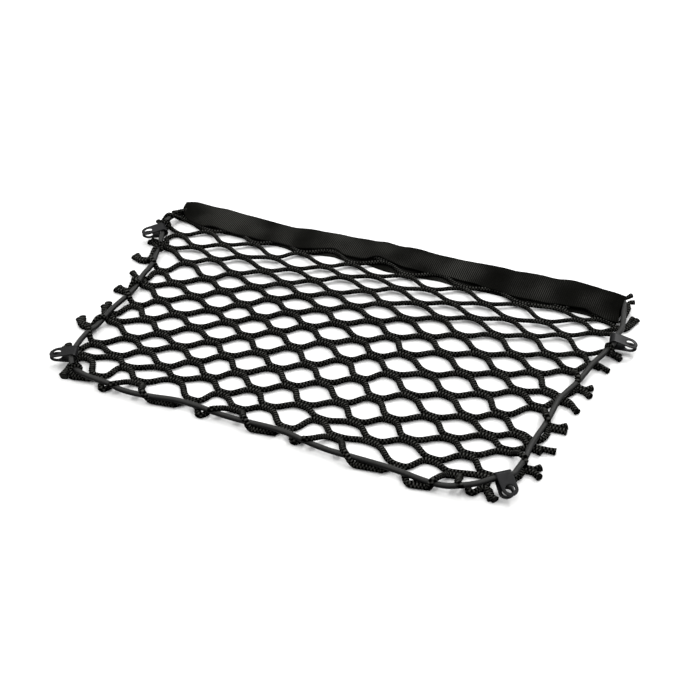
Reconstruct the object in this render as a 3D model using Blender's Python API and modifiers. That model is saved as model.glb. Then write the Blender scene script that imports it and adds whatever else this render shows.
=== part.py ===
"""Cargo net lying flat on a table.

A knotless diamond net of braided cord hangs on a round frame cord. The frame cord
runs round three sides in the open and through the fold of a webbing band along the
back. A folded metal clip with an eye in each leaf sits on the frame cord at each corner.

Metres, +Z up, +X along the band, +Y towards the band. Tables are in millimetres and
in plan coordinates, which PLAN_CENTRE moves onto the origin.
"""
import math

import bmesh
import bpy
from mathutils import Matrix, Vector

MM = 0.001
PLAN_CENTRE = (-13.75, 8.45)

# ---- driving sizes, millimetres -------------------------------------------------
NET_CORD = 4.2          # width and height of one braided net cord
PAD_HALF_LENGTH = 3.4   # half of the straight run where two cords lie together
PAD_TIP = 2.3           # from the end of that run to the fork of the two cords
PAD_HALF_HEIGHT = 4.0   # two cords side by side
FRAME_CORD = 4.8        # frame cord diameter
GAP = 0.3               # between pieces that touch
FOLD_ROOM = 0.5         # round the frame cord in the fold of the band
WEBBING = 1.4           # webbing thickness
UNDER_LAYER = 25.0      # fold to the selvedge of the layer on the table
CLIP_WIDTH = 11.6
CLIP_STEEL = 1.1
CLIP_REACH = 17.5       # frame cord's centre to the rounded tip
CLIP_ROOM = 0.5         # round the frame cord in the bend
CLIP_EYE = 3.4          # eye radius
CLIP_CLOSE = 3.5        # degrees by which each leaf leans in to the other

NET_EDGE_Z = NET_CORD / 2
NET_FIELD_Z = WEBBING + GAP + NET_CORD / 2
CORD_OVER_NET_Z = NET_CORD + GAP + FRAME_CORD / 2
FOLD_RADIUS = FRAME_CORD / 2 + FOLD_ROOM + WEBBING / 2
CORD_IN_FOLD_Z = WEBBING + FOLD_ROOM + FRAME_CORD / 2
UPPER_EDGE_Z = WEBBING + GAP + NET_CORD + GAP + WEBBING / 2

# ---- net rows: the places of column -9, -1 and 7 in each row of junctions --------
FIRST_COLUMN, MIDDLE_COLUMN, LAST_COLUMN = -9, -1, 7
NET_ROWS = (
    # row, x left, x mid, x right, y left, y mid, y right
    (12, -204, -21, 170, 117, 126, 121),
    (11, -204, -20, 168, 108, 118, 114),
    (10, -205, -20, 171, 97, 107, 102),
    (9, -203, -20, 170, 86, 97, 93),
    (8, -200, -20, 170, 74, 86, 78),
    (7, -197, -18, 170, 63, 74, 62),
    (6, -192, -19, 168, 47, 61, 48),
    (5, -186, -19, 166, 32, 49, 35),
    (4, -186, -17, 164, 15, 36, 19),
    (3, -183, -18, 162, 6, 21, 4),
    (2, -180, -18, 160, -12, 8, -9),
    (1, -178, -18, 159, -24, -7, -24),
    (0, -178, -17, 157, -40, -21, -41),
    (-1, -179, -17, 156, -52, -37, -53),
    (-2, -176, -18, 156, -65, -52, -67),
    (-3, -177, -18, 154, -79, -67, -82),
    (-4, -173, -18, 152, -90, -83, -99),
    (-5, -172, -20, 150, -100, -97, -107),
)
# Junctions that the side cords draw out of their rows: row, x, y.
LEFT_COLUMN = (
    (9, -203, 87), (7, -198, 67), (5, -187, 32), (3, -184, 9),
    (1, -180, -21), (-1, -182, -45), (-3, -178, -79), (-5, -174, -98),
)
RIGHT_COLUMN = (
    (9, 168, 94), (7, 166, 61), (5, 164, 38), (3, 158, 6),
    (1, 156, -14), (-1, 155, -52), (-3, 152, -70), (-5, 149, -103),
)
# The last junctions and their cut ends: row, x, y, tip x, tip y, flare at the tip.
LEFT_ENDS = (
    (10, -219, 104, -230, 104, 0), (8, -209, 76, -223, 73, 1), (6, -209, 46, -220, 46, -1),
    (4, -197, 18, -209, 21, 2), (2, -200, -4, -209, -4, 0), (0, -193, -36, -203, -27, 0),
    (-2, -199, -59, -212, -53, 1), (-4, -192, -92, -200, -91, 1),
)
RIGHT_ENDS = (
    (10, 182, 111, 189, 123, 0), (8, 183, 75, 193, 71, 0), (6, 175, 51, 190, 50, 0),
    (4, 178, 21, 186, 18, 3), (2, 169, -4, 183, -10, 0), (0, 176, -33, 183, -32, 3),
    (-2, 168, -61, 183, -57, 0), (-4, 175, -86, 182, -86, 3),
)
# Front edge: the last junctions behind or under the frame cord, column, x, y.
FRONT_PADS = (
    (-8, -154, -113), (-6, -125, -107), (-4, -76, -110), (-2, -42, -106),
    (0, 1, -110), (2, 36, -105), (4, 89, -116), (6, 128, -107),
)
# Mesh bottoms in front of the frame cord: column, x, y, half of the flat bottom.
FRONT_LOOPS = (
    (-9, -168, -119, 6), (-7, -143, -121, 1), (-5, -97, -119, 7), (-3, -63, -119, 1),
    (-1, -13, -118, 7), (1, 14, -118, 1), (3, 70, -124, 8), (5, 113, -125, 2),
    (7, 145, -119, 1),
)
# Front corners: column, x, y, tip x, tip y of the cut end.
FRONT_CORNERS = ((-10, -185, -112, -181, -127), (8, 158, -112, 164, -125))
BAND_END_STRAND = (183, 133, 187, 144)      # x, y, tip x, tip y past the band's right end

# ---- webbing band: x, fold y, lift of the fold, upper selvedge y, its rise -------
BAND_STATIONS = (
    (-218, 136.0, 0.0, 121, 2.6), (-211, 137.8, 0.0, 117, 2.0), (-203, 139.0, 0.0, 112, 0.6),
    (-185, 140.5, 0.0, 111, 0.0), (-160, 139.0, 0.0, 110, 0.5), (-135, 138.5, 0.0, 110, 0.0),
    (-110, 138.0, 0.2, 110, 0.0), (-90, 139.5, 0.4, 110, 0.3), (-70, 142.5, 0.6, 114, 2.0),
    (-50, 143.5, 0.8, 114, 1.0), (-30, 144.5, 1.0, 119, 4.0), (-10, 144.5, 1.3, 117, 0.8),
    (20, 143.5, 1.8, 117, 0.5), (50, 143.0, 2.4, 118, 0.3), (80, 143.5, 3.1, 118, 0.0),
    (105, 145.0, 3.7, 117, 0.0), (130, 146.5, 4.3, 119, 1.0), (148, 145.5, 4.5, 117, 2.5),
    (163, 143.5, 4.5, 112, 1.0), (173, 141.5, 4.5, 110, 0.0),
)

# ---- clips: name, x, y, z of the frame cord there, way the leaves point, dip -----
CLIPS = (
    ("clip_front_left", -182.5, -104.5, 10.0, 203, 8),
    ("clip_front_right", 162.5, -106.5, 10.5, -48, 17),
    ("clip_back_right", 185.0, 82.5, 9.6, 12, 14),
    ("clip_back_left", -214.5, 83.5, 10.2, 220, 8),
)

# ---- frame cord outside the band: x, y, z. A name stands for a clip's two ends ---
NET_Z = CORD_OVER_NET_Z
CORD_ROUTE = (
    (-214, 131, 4.4), (-218, 126, 4.8), (-220.5, 118, 6.0), (-221.5, 108, 8.0),
    (-220.5, 97, 9.6),
    "clip_back_left",
    (-207.5, 66, 8.4), (-203, 52, NET_Z), (-197, 35, NET_Z), (-193.5, 12, NET_Z),
    (-191.6, -17, NET_Z), (-191, -40, NET_Z), (-191, -70, 7.6), (-188.5, -86, 8.6),
    "clip_front_left",
    (-174, -117, 8.4), (-164, -121, 7.6), (-150, -123.3, NET_Z), (-125, -124.2, NET_Z),
    (-106, -122.7, NET_Z), (-85, -120.3, NET_Z), (-60, -120, NET_Z), (-30, -120, NET_Z),
    (0, -120.2, NET_Z), (28, -122.5, NET_Z), (55, -124.3, NET_Z), (82, -125.5, NET_Z),
    (104, -127.2, NET_Z), (123, -126.5, 7.2), (138, -123.8, 8.0), (149, -118.5, 9.2),
    "clip_front_right",
    (168.5, -93, 9.7), (168.5, -78, 8.4), (167.5, -57, 7.3), (169, -28, NET_Z),
    (171, -6, NET_Z), (174, 26, NET_Z), (178, 50, 7.6), (182.5, 66, 8.7),
    "clip_back_right",
    (184, 103, 9.4), (182.5, 115, 9.1), (180.5, 126, 8.8), (177.8, 133, 8.7),
    (172.5, 137, 8.8),
)
CORD_STEP = 14.0        # farthest from one point of the drawn cord to the next

COLOURS = {
    # name: colour, roughness, metallic
    "net": ((0.012, 0.012, 0.012), 0.8, 0.0),
    "frame_cord": ((0.020, 0.020, 0.020), 0.45, 0.0),
    "band": ((0.014, 0.014, 0.013), 0.85, 0.0),
    "clip": ((0.030, 0.030, 0.032), 0.35, 0.6),
}


def clear_scene():
    for item in list(bpy.data.objects):
        bpy.data.objects.remove(item, do_unlink=True)


def place(x, y, z):
    """A plan point in millimetres as a point of the part in metres."""
    return Vector(((x - PLAN_CENTRE[0]) * MM, (y - PLAN_CENTRE[1]) * MM, z * MM))


def add_object(name, data, material):
    colour, roughness, metallic = COLOURS[material]
    finish = bpy.data.materials.get(material) or bpy.data.materials.new(material)
    finish.use_nodes = True
    shader = finish.node_tree.nodes["Principled BSDF"]
    shader.inputs["Base Color"].default_value = (*colour, 1.0)
    shader.inputs["Roughness"].default_value = roughness
    shader.inputs["Metallic"].default_value = metallic
    data.materials.append(finish)
    item = bpy.data.objects.new(name, data)
    collection.objects.link(item)
    return item


def add_thickness(item, thickness):
    solid = item.modifiers.new("thickness", "SOLIDIFY")
    solid.thickness = thickness * MM
    solid.offset = 0.0


def mesh_from(bm, name):
    bmesh.ops.recalc_face_normals(bm, faces=bm.faces)
    mesh = bpy.data.meshes.new(name)
    bm.to_mesh(mesh)
    bm.free()
    return mesh


# ---- net ------------------------------------------------------------------------
def through_three(left, mid, right, u):
    """The parabola that is left, mid and right at u = -1, 0 and 1."""
    return mid + (right - left) / 2 * u + ((left + right) / 2 - mid) * u * u


def net_junctions():
    """Junction centres of the net, (column, row): (x, y, z)."""
    places = {}
    for row, xl, xm, xr, yl, ym, yr in NET_ROWS:
        for column in range(FIRST_COLUMN, LAST_COLUMN + 1):
            if (column + row) % 2 == 0:
                u = (column - MIDDLE_COLUMN) / (LAST_COLUMN - MIDDLE_COLUMN)
                z = NET_FIELD_Z
                places[column, row] = (through_three(xl, xm, xr, u), through_three(yl, ym, yr, u), z)
    for column, side in ((FIRST_COLUMN, LEFT_COLUMN), (LAST_COLUMN, RIGHT_COLUMN)):
        for row, x, y in side:
            places[column, row] = (x, y, NET_EDGE_Z)
    for column, ends in ((FIRST_COLUMN - 1, LEFT_ENDS), (LAST_COLUMN + 1, RIGHT_ENDS)):
        for row, x, y, *_ in ends:
            places[column, row] = (x, y, NET_EDGE_Z)
    for column, x, y in FRONT_PADS:
        places[column, -6] = (x, y, NET_EDGE_Z)
    for column, x, y, _ in FRONT_LOOPS:
        places[column, -7] = (x, y, NET_EDGE_Z)
    for column, x, y, *_ in FRONT_CORNERS:
        places[column, -6] = (x, y, NET_EDGE_Z)
    return places


def pad_corners(column, row, centre, places):
    """The six corners of the flat where two cords lie together, keyed by their place."""
    before = places.get((column - 2, row), places.get((column - 1, row - 1)))
    after = places.get((column + 2, row), places.get((column + 1, row - 1)))
    slope = 0.0
    if (column - 2, row) in places and (column + 2, row) in places:
        slope = math.atan2(after[1] - before[1], after[0] - before[0])
    half, height, tip = PAD_HALF_LENGTH, PAD_HALF_HEIGHT, PAD_HALF_LENGTH + PAD_TIP
    top, bottom, inner_top = half, half, height
    if row == -7:
        bottom = dict((c, flat) for c, _, _, flat in FRONT_LOOPS)[column]
    outline = {
        "L": (-tip, 0), "TL": (-top, inner_top), "TR": (top, inner_top),
        "R": (tip, 0), "BR": (bottom, -height), "BL": (-bottom, -height),
    }
    turn = Matrix.Rotation(slope, 2)
    corners = {}
    for key, (dx, dy) in outline.items():
        offset = turn @ Vector((dx, dy))
        corners[key] = place(centre[0] + offset.x, centre[1] + offset.y, centre[2])
    return corners


def end_tip(x, y, flare, from_x, from_y):
    """The two corners of a cut end, square to its run."""
    along = Vector((x - from_x, y - from_y)).normalized()
    side = Vector((-along.y, along.x)) * (NET_CORD + flare) / 2
    return (place(x + side.x, y + side.y, NET_EDGE_Z), place(x - side.x, y - side.y, NET_EDGE_Z))


def add_net():
    places = net_junctions()
    bm = bmesh.new()
    corners = {}
    for (column, row), centre in places.items():
        outline = pad_corners(column, row, centre, places)
        corners[column, row] = {key: bm.verts.new(point) for key, point in outline.items()}
        ring = [corners[column, row][key] for key in ("L", "TL", "TR", "R", "BR", "BL")]
        bm.faces.new(ring)
    for (column, row), pad in corners.items():
        upper = corners.get((column + 1, row + 1))
        if upper:
            bm.faces.new((pad["TR"], upper["L"], upper["BL"], pad["R"]))
        lower = corners.get((column + 1, row - 1))
        if lower:
            bm.faces.new((pad["R"], lower["TL"], lower["L"], pad["BR"]))
    for column, ends, first, middle, last in (
            (FIRST_COLUMN - 1, LEFT_ENDS, "TL", "L", "BL"),
            (LAST_COLUMN + 1, RIGHT_ENDS, "TR", "R", "BR")):
        for row, x, y, tip_x, tip_y, flare in ends:
            pad = corners[column, row]
            one, two = (bm.verts.new(p) for p in end_tip(tip_x, tip_y, flare, x, y))
            low, high = (one, two) if column < 0 else (two, one)
            bm.faces.new((pad[first], high, low, pad[last], pad[middle]))
    for column, x, y, tip_x, tip_y in FRONT_CORNERS:
        pad = corners[column, -6]
        right, left = (bm.verts.new(p) for p in end_tip(tip_x, tip_y, 0, x, y))
        bm.faces.new((pad["BL"], pad["BR"], right, left))
    x, y, tip_x, tip_y = BAND_END_STRAND
    pad = corners[LAST_COLUMN + 1, 10]
    left, right = (bm.verts.new(p) for p in end_tip(x, y, -1, 182, 111))
    tip_left, tip_right = (bm.verts.new(p) for p in end_tip(tip_x, tip_y, 3, x, y))
    bm.faces.new((pad["TL"], left, right, pad["TR"]))
    bm.faces.new((left, tip_left, tip_right, right))
    net = add_object("net", mesh_from(bm, "net"), "net")
    add_thickness(net, NET_CORD)


# ---- frame cord -----------------------------------------------------------------
def smooth_point(p0, p1, p2, p3, t):
    """Catmull-Rom between p1 and p2."""
    return 0.5 * ((2 * p1) + (p2 - p0) * t + (2 * p0 - 5 * p1 + 4 * p2 - p3) * t * t
                  + (3 * p1 - p0 - 3 * p2 + p3) * t * t * t)


def cord_route():
    """The whole closed route, with the straight run through each clip."""
    clips = {name: shape for name, *shape in CLIPS}
    route = []
    for point in CORD_ROUTE:
        if isinstance(point, str):
            x, y, z, heading, _ = clips[point]
            turn = math.radians(heading + 90)
            for reach in (-CLIP_WIDTH / 2 - 0.5, CLIP_WIDTH / 2 + 0.5):
                route.append(place(x + reach * math.cos(turn), y + reach * math.sin(turn), z))
        else:
            route.append(place(*point))
    for x, fold_y, lift, *_ in reversed(BAND_STATIONS[2:-1]):
        route.append(place(x, fold_y - FOLD_RADIUS - WEBBING / 2, CORD_IN_FOLD_Z + lift))
    return route


def drawn_points(route):
    """The route's own points, and between them points of the smooth curve."""
    points = []
    for i, here in enumerate(route):
        before, after, beyond = (route[(i + k) % len(route)] for k in (-1, 1, 2))
        parts = max(1, round((after - here).length / MM / CORD_STEP))
        points += [smooth_point(before, here, after, beyond, k / parts) for k in range(parts)]
    return points


def add_frame_cord():
    curve = bpy.data.curves.new("frame_cord", "CURVE")
    curve.dimensions = "3D"
    curve.bevel_depth = FRAME_CORD / 2 * MM
    curve.bevel_resolution = 2
    points = drawn_points(cord_route())
    spline = curve.splines.new("POLY")
    spline.points.add(len(points) - 1)
    for slot, point in zip(spline.points, points):
        slot.co = (*point, 1.0)
    spline.use_cyclic_u = True
    add_object("frame_cord", curve, "frame_cord")


# ---- webbing band ---------------------------------------------------------------
def band_section(fold_y, lift, upper_y, rise):
    """The middle of the folded webbing across the band: (y, z) from below to above."""
    centre_y = fold_y - FOLD_RADIUS - WEBBING / 2
    centre_z = CORD_IN_FOLD_Z + lift
    lower_y = min(fold_y - UNDER_LAYER, upper_y + 4)
    base = WEBBING / 2
    section = [(lower_y, base), (centre_y - 6, base)]
    for step in range(7):
        angle = math.radians(-90 + 30 * step)
        section.append((centre_y + FOLD_RADIUS * math.cos(angle), centre_z + FOLD_RADIUS * math.sin(angle)))
    mid_z = (centre_z + FOLD_RADIUS + UPPER_EDGE_Z) / 2 + 0.3 + rise * 0.3
    section.append(((upper_y + centre_y) / 2, mid_z))
    section.append((upper_y, UPPER_EDGE_Z + rise))
    return section


def add_band():
    bm = bmesh.new()
    rows = []
    for x, *shape in BAND_STATIONS:
        rows.append([bm.verts.new(place(x, y, z)) for y, z in band_section(*shape)])
    for one, two in zip(rows, rows[1:]):
        for k in range(len(one) - 1):
            bm.faces.new((one[k], two[k], two[k + 1], one[k + 1]))
    band = add_object("band", mesh_from(bm, "band"), "band")
    add_thickness(band, WEBBING)


# ---- clips ----------------------------------------------------------------------
CLIP_BEND = FRAME_CORD / 2 + CLIP_ROOM + CLIP_STEEL / 2
CLIP_QUARTER = CLIP_BEND * (math.pi / 2 + math.radians(CLIP_CLOSE))


def bent_strip_point(s, y, dip):
    """Bend the flat strip round the cord: s runs from the middle of the bend."""
    side = 1 if s >= 0 else -1
    lean = math.radians(dip + side * CLIP_CLOSE)
    run = abs(s) - CLIP_QUARTER
    if run <= 0:
        angle = math.pi - math.radians(dip) - s / CLIP_BEND
        return Vector((CLIP_BEND * math.cos(angle), y, CLIP_BEND * math.sin(angle)))
    x = run * math.cos(lean) + side * CLIP_BEND * math.sin(lean)
    z = -run * math.sin(lean) + side * CLIP_BEND * math.cos(lean)
    return Vector((x, y, z))


def leaf_outline(count):
    """Rings round the eye in the flat strip, first the eye and then the leaf's edge."""
    half = CLIP_WIDTH / 2
    hole = CLIP_EYE / math.cos(math.pi / count)
    eye, edge = [], []
    for k in range(count):
        c = math.cos(2 * math.pi * k / count)
        s = math.sin(2 * math.pi * k / count)
        reach = half if c > -0.01 else half / max(abs(c), abs(s))
        eye.append((hole * c, hole * s))
        edge.append((reach * c, reach * s))
    return eye, edge


def add_clip(name, x, y, z, heading, dip):
    bm = bmesh.new()
    turn = Matrix.Rotation(math.radians(heading), 3, "Z")
    half = CLIP_WIDTH / 2

    def bent(s, v):
        return bm.verts.new(place(x, y, z) + turn @ bent_strip_point(s, v, dip) * MM)

    count = 12
    back = range(count // 2 - 2, count // 2 + 3)
    bend_steps = 6
    stations = []
    for k in range(bend_steps + 1):
        s = CLIP_QUARTER * (2 * k / bend_steps - 1)
        stations.append([bent(s, -half), bent(s, half)])
    for one, two in zip(stations, stations[1:]):
        bm.faces.new((one[0], two[0], two[1], one[1]))
    for side, station in ((1, stations[-1]), (-1, stations[0])):
        centre = CLIP_QUARTER + CLIP_REACH - half
        flat_eye, flat_edge = leaf_outline(count)
        eye = [bent(side * (centre + u), v) for u, v in flat_eye]
        edge = [bent(side * (centre + u), v) for u, v in flat_edge]
        for k in range(count):
            n = (k + 1) % count
            bm.faces.new((eye[k], eye[n], edge[n], edge[k]))
        bm.faces.new(station + [edge[k] for k in back])
    clip = add_object(name, mesh_from(bm, name), "clip")
    add_thickness(clip, CLIP_STEEL)


clear_scene()
collection = bpy.data.collections.new("cargo_net")
bpy.context.scene.collection.children.link(collection)
add_net()
add_frame_cord()
add_band()
for clip in CLIPS:
    add_clip(*clip)
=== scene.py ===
"""Cargo net lying flat on a pale floor: net, frame cord, webbing band and four clips.

Tables are in millimetres, in the same plan coordinates as the CAD: x along the band,
y towards it. PLAN_CENTRE moves them onto the part's origin.
"""
import math
import random

import bmesh
import bpy
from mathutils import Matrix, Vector


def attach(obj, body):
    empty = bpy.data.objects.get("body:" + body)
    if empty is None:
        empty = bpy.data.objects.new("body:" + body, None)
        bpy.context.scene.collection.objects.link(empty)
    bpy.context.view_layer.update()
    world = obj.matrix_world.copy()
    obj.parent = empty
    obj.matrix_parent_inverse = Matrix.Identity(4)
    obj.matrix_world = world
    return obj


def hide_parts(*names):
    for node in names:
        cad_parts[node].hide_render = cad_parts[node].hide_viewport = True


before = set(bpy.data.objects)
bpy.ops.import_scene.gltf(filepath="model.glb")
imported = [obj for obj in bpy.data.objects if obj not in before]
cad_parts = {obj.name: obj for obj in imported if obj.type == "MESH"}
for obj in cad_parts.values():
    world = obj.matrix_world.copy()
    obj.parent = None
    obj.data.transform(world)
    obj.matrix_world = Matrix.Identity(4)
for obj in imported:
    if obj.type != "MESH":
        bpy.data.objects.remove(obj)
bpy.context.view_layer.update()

random.seed(7)

PLAN_CENTRE = (-13.75, 8.45)


def plan(x, y, z):
    """A point of the tables (mm) in the part's frame (m)."""
    return Vector(((x - PLAN_CENTRE[0]) / 1000, (y - PLAN_CENTRE[1]) / 1000, z / 1000))


# ---------------------------------------------------------------- camera ----------
CAMERA_ELEVATION = 35.0
CAMERA_AZIMUTH = 24.5
CAMERA_DISTANCE = 1155.5        # mm from the plan's zero point
CAMERA_SENSOR = 36.0            # mm
CAMERA_FOCAL = 77.14            # mm


def camera_place():
    e, a = math.radians(CAMERA_ELEVATION), math.radians(CAMERA_AZIMUTH)
    way = Vector((math.sin(a) * math.cos(e), -math.cos(a) * math.cos(e), math.sin(e)))
    return way * CAMERA_DISTANCE


CAMERA_PLACE = camera_place()


def add_camera():
    data = bpy.data.cameras.new("camera")
    data.lens = CAMERA_FOCAL
    data.sensor_width = CAMERA_SENSOR
    data.sensor_fit = "HORIZONTAL"
    data.clip_start = 0.01
    camera = bpy.data.objects.new("camera", data)
    camera.location = plan(*CAMERA_PLACE)
    tilt = math.radians(90 - CAMERA_ELEVATION)
    camera.rotation_euler = (tilt, 0.0, math.radians(CAMERA_AZIMUTH))
    bpy.context.scene.collection.objects.link(camera)
    bpy.context.scene.camera = camera


# ---------------------------------------------------------------- sizes, mm -------
CORD_WIDTH = 4.7                # one braided net cord, up to row LAST_WIDE_ROW
CORD_HEIGHT = 0.86              # its height, as a share of its width
LAST_WIDE_ROW = 3
CORD_THINNER = 0.16             # less width for each row beyond, towards the band
PLAIT = 0.15                    # how far the plait's beads stand out, as a share of the radius
STITCH = 2.5                    # length of one plait
RING_STEP = STITCH / 4          # from point to point along a net cord
FLARE_RUN = 5.0                 # length over which a cut end widens
TIP_DISH = 0.5                  # how far the middle of a cut end lies inside it
NET_FLARE = (0.2, 0.2)          # share by which the first and the last end widen
FRONT_FLARE = (0.25, 0.25)
STRAND_FLARE = (0.0, 0.3)

PULL = 0.42                     # how stiffly a cord leaves its knots, as a share of their distance
PULL_LESS = 0.018               # less of it for each row beyond LAST_WIDE_ROW
LOOP_PULL = 0.36                # and in the loops along the front
PAD_OFFSET = 0.40               # centre line of each cord from the middle of a pad, in widths
PAD_RUN = 0.36                  # half of the straight run in a pad, in widths
END_PAD_OFFSET = 0.6            # the offset in a pad outside the frame cord, as a share of that
END_UPPER_RISE = 0.6            # there the upper cord lies this much higher
END_LOWER_DROP = 0.2            # and the lower one this much lower

TURN_CORD = 3.4                 # net cord pulled tight in single turns and short strands
TURN_PLAIT = 0.12
TURN_CLEAR = 1.6                # from the frame cord's surface to the middle of a turn
TURN_STEPS = 24
STRAND_HEIGHT = 3.0

FRAME_CORD = 4.3
FRAME_CORD_STITCH = 4.0
FRAME_CORD_SIDES = 20
FRAME_CORD_FINE = 20            # curve points for each one of its route
FRAME_CORD_STEP = 1.1
WEBBING = 1.4

FIELD_Z = 2.6                   # middle of the net in the field
FLOOR_Z = 2.1                   # and where it lies on the floor
HEIGHT_SPREAD = (-0.15, 0.25)   # drawn at random for each junction and added
LEAST_Z = 0.05                  # nothing of a cord goes lower, its underside is flattened there
CORD_UP_Z = 7.0                 # middle of the frame cord where it lies over the net
CORD_LOW_Z = 4.8                # and where strands lie over it
OVER_Z = CORD_LOW_Z + FRAME_CORD / 2 + 1.7      # middle of those strands
SIDE_CROSSING = 0.58            # they cross this share of the way from end pad to inner pad
SIDE_OUT = 1.0                  # and this much outside the frame cord's middle,
FRONT_OUT = 0.5                 # this much at the front

# ---------------------------------------------------------------- net tables ------
# Net junctions, as seen in a plane SEEN_Z above the floor: row: (x, y) of its columns from
# left to right, which are every second one from -9 or -8.
SEEN_Z = 5.7
NET_ROWS = {
    12: ((-181, 121), (-136, 122), (-93, 124), (-46, 127), (2, 128), (50, 128), (100, 128),
         (142, 128)),
    11: ((-211, 114), (-158, 114), (-114, 115), (-70, 119), (-22, 121), (26, 122), (76, 119),
         (132, 114), (166, 113)),
    10: ((-180, 104), (-136, 102), (-94, 105), (-47, 107), (2, 109), (51, 110), (101, 107),
         (151, 105)),
    9: ((-200, 89), (-158, 90), (-111, 89), (-65, 94), (-22, 97), (26, 97), (75, 96), (126, 91),
        (168, 94)),
    8: ((-178, 77), (-135, 79), (-87, 80), (-44, 86), (2, 88), (50, 86), (100, 83), (146, 80)),
    7: ((-198, 66), (-154, 66), (-107, 67), (-64, 71), (-17, 75), (27, 75), (74, 73), (123, 68),
        (166, 61)),
    6: ((-172, 52), (-129, 53), (-84, 57), (-42, 60), (1, 63), (50, 62), (98, 58), (144, 50)),
    5: ((-186, 31), (-145, 37), (-104, 42), (-63, 46), (-20, 49), (26, 50), (72, 46), (120, 39),
        (164, 36)),
    4: ((-166, 20), (-124, 26), (-83, 32), (-39, 35), (5, 37), (50, 34), (96, 29), (142, 23)),
    3: ((-185, 7), (-142, 9), (-101, 15), (-61, 20), (-20, 22), (26, 22), (70, 18), (118, 11),
        (158, 4)),
    2: ((-163, -7), (-118, -2), (-80, 4), (-40, 8), (5, 8), (44, 5), (94, 0), (138, -4)),
    1: ((-177, -22), (-141, -19), (-99, -12), (-59, -8), (-18, -6), (24, -7), (70, -12),
        (116, -18), (157, -17)),
    0: ((-159, -35), (-120, -30), (-78, -24), (-37, -22), (5, -21), (44, -23), (92, -30),
        (135, -36)),
    -1: ((-182, -48), (-139, -47), (-97, -40), (-58, -38), (-17, -37), (25, -38), (67, -41),
         (115, -48), (155, -52)),
    -2: ((-157, -62), (-118, -57), (-79, -53), (-38, -52), (3, -53), (45, -55), (91, -59),
         (136, -62)),
    -3: ((-178, -80), (-138, -72), (-97, -69), (-60, -68), (-18, -67), (25, -70), (66, -73),
         (112, -76), (153, -73)),
    -4: ((-155, -88), (-115, -85), (-77, -83), (-39, -82), (1, -84), (44, -87), (86, -90),
         (131, -88.5)),
    -5: ((-174, -98), (-140, -97), (-99, -95), (-59, -96), (-22, -97), (20, -95), (64, -102),
         (110, -104), (150, -104)),
}
NEAR_SHIFT = 0.6                # rows below 0 lie this much nearer the front than in the table
RAISED = {6: 0.5, 7: 1.2, 8: 1.7, 9: 1.6, 10: 0.7, 11: 0.3, 12: 0.2}    # row: mm above FIELD_Z

# Pads outside the frame cord: row: (x, y, whether the strands to them cross over the cord).
LEFT_COLUMN, RIGHT_COLUMN = -10, 8
LEFT_ENDS = {
    8: (-208, 75, False), 6: (-210, 45, True), 4: (-196, 18, False),
    2: (-200, -3, True), 0: (-192, -37, False), -2: (-200, -59, True), -4: (-192, -92, False),
}
RIGHT_ENDS = {
    10: (181, 111, False), 8: (183, 76, True), 6: (176, 55.5, False), 4: (178, 21.5, True),
    2: (169, 2, False), 0: (173.5, -31, True), -2: (168, -59, False), -4: (173, -83, True),
}
# Rows at the right where only the upper strand crosses over the frame cord and the lower one
# goes under it: row: (x, y, z) over it, (x, y) under it, (x, y) just past it.
RIGHT_CROSSINGS = {
    4: ((172.4, 28.9, 8.7), (167, 8), (172.5, 15)),
    0: ((167.4, -28.5, 8.8), (166.8, -50), (171.8, -42)),
    -4: ((168.4, -81, 11.0), (164, -99), (169, -92.5)),
}
# Cut ends past those pads: row: tips of the upper and of the lower cord, (x, y).
LEFT_TIPS = {
    8: ((-221.5, 76.5), (-222.5, 72.5)), 6: ((-220.5, 50.0), (-221.5, 46.5)),
    4: ((-209.5, 24.5), (-204, 15)), 2: ((-207.5, 0.5), (-208.5, -3.5)),
    0: ((-202.5, -23.5), (-203.5, -28.5)), -2: ((-210.5, -49.5), (-211.5, -52.5)),
    -4: ((-199.5, -86.5), (-200.5, -91.5)),
}
RIGHT_TIPS = {
    10: ((187, 130), (191, 129)), 8: ((193, 75), (194, 71)), 6: ((190, 52.5), (183, 54)),
    4: ((185, 27), (187, 16)), 2: ((184, -6), (176.5, 0)), 0: ((182, -25), (184, -31)),
    -2: ((184, -56), (175, -61)), -4: ((180, -77), (183, -87.5)),
}
# A bend that one cord makes beside its left end pad, (x, y, z).
LEFT_BENDS = {8: (-210.5, 82.5, 3.0)}
# Starts of the cords that turn round the frame cord by the band's left end, (x, y, z).
BACK_STARTS = {
    9: ((-231, 102, 2.2), (-225, 104, 2.2), (-218, 101, 2.4), (-211, 97, 2.6)),
    10: ((-233, 106, 2.4), (-227.5, 104, 4.5), (-222.5, 107, 11.2), (-217, 109.5, 9.0)),
    11: ((-212, 129, 3.0), (-218, 124.5, 3.4), (-218.5, 119, 3.2)),
}

# Pads of the front row, behind or under the frame cord: column: (x, y).
FRONT_ROW = -6
FRONT_PADS = {
    -8: (-155, -113), -6: (-125, -106), -4: (-77, -110), -2: (-42, -105),
    0: (0, -111), 2: (36, -105), 4: (90, -117), 6: (128, -108),
}
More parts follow.
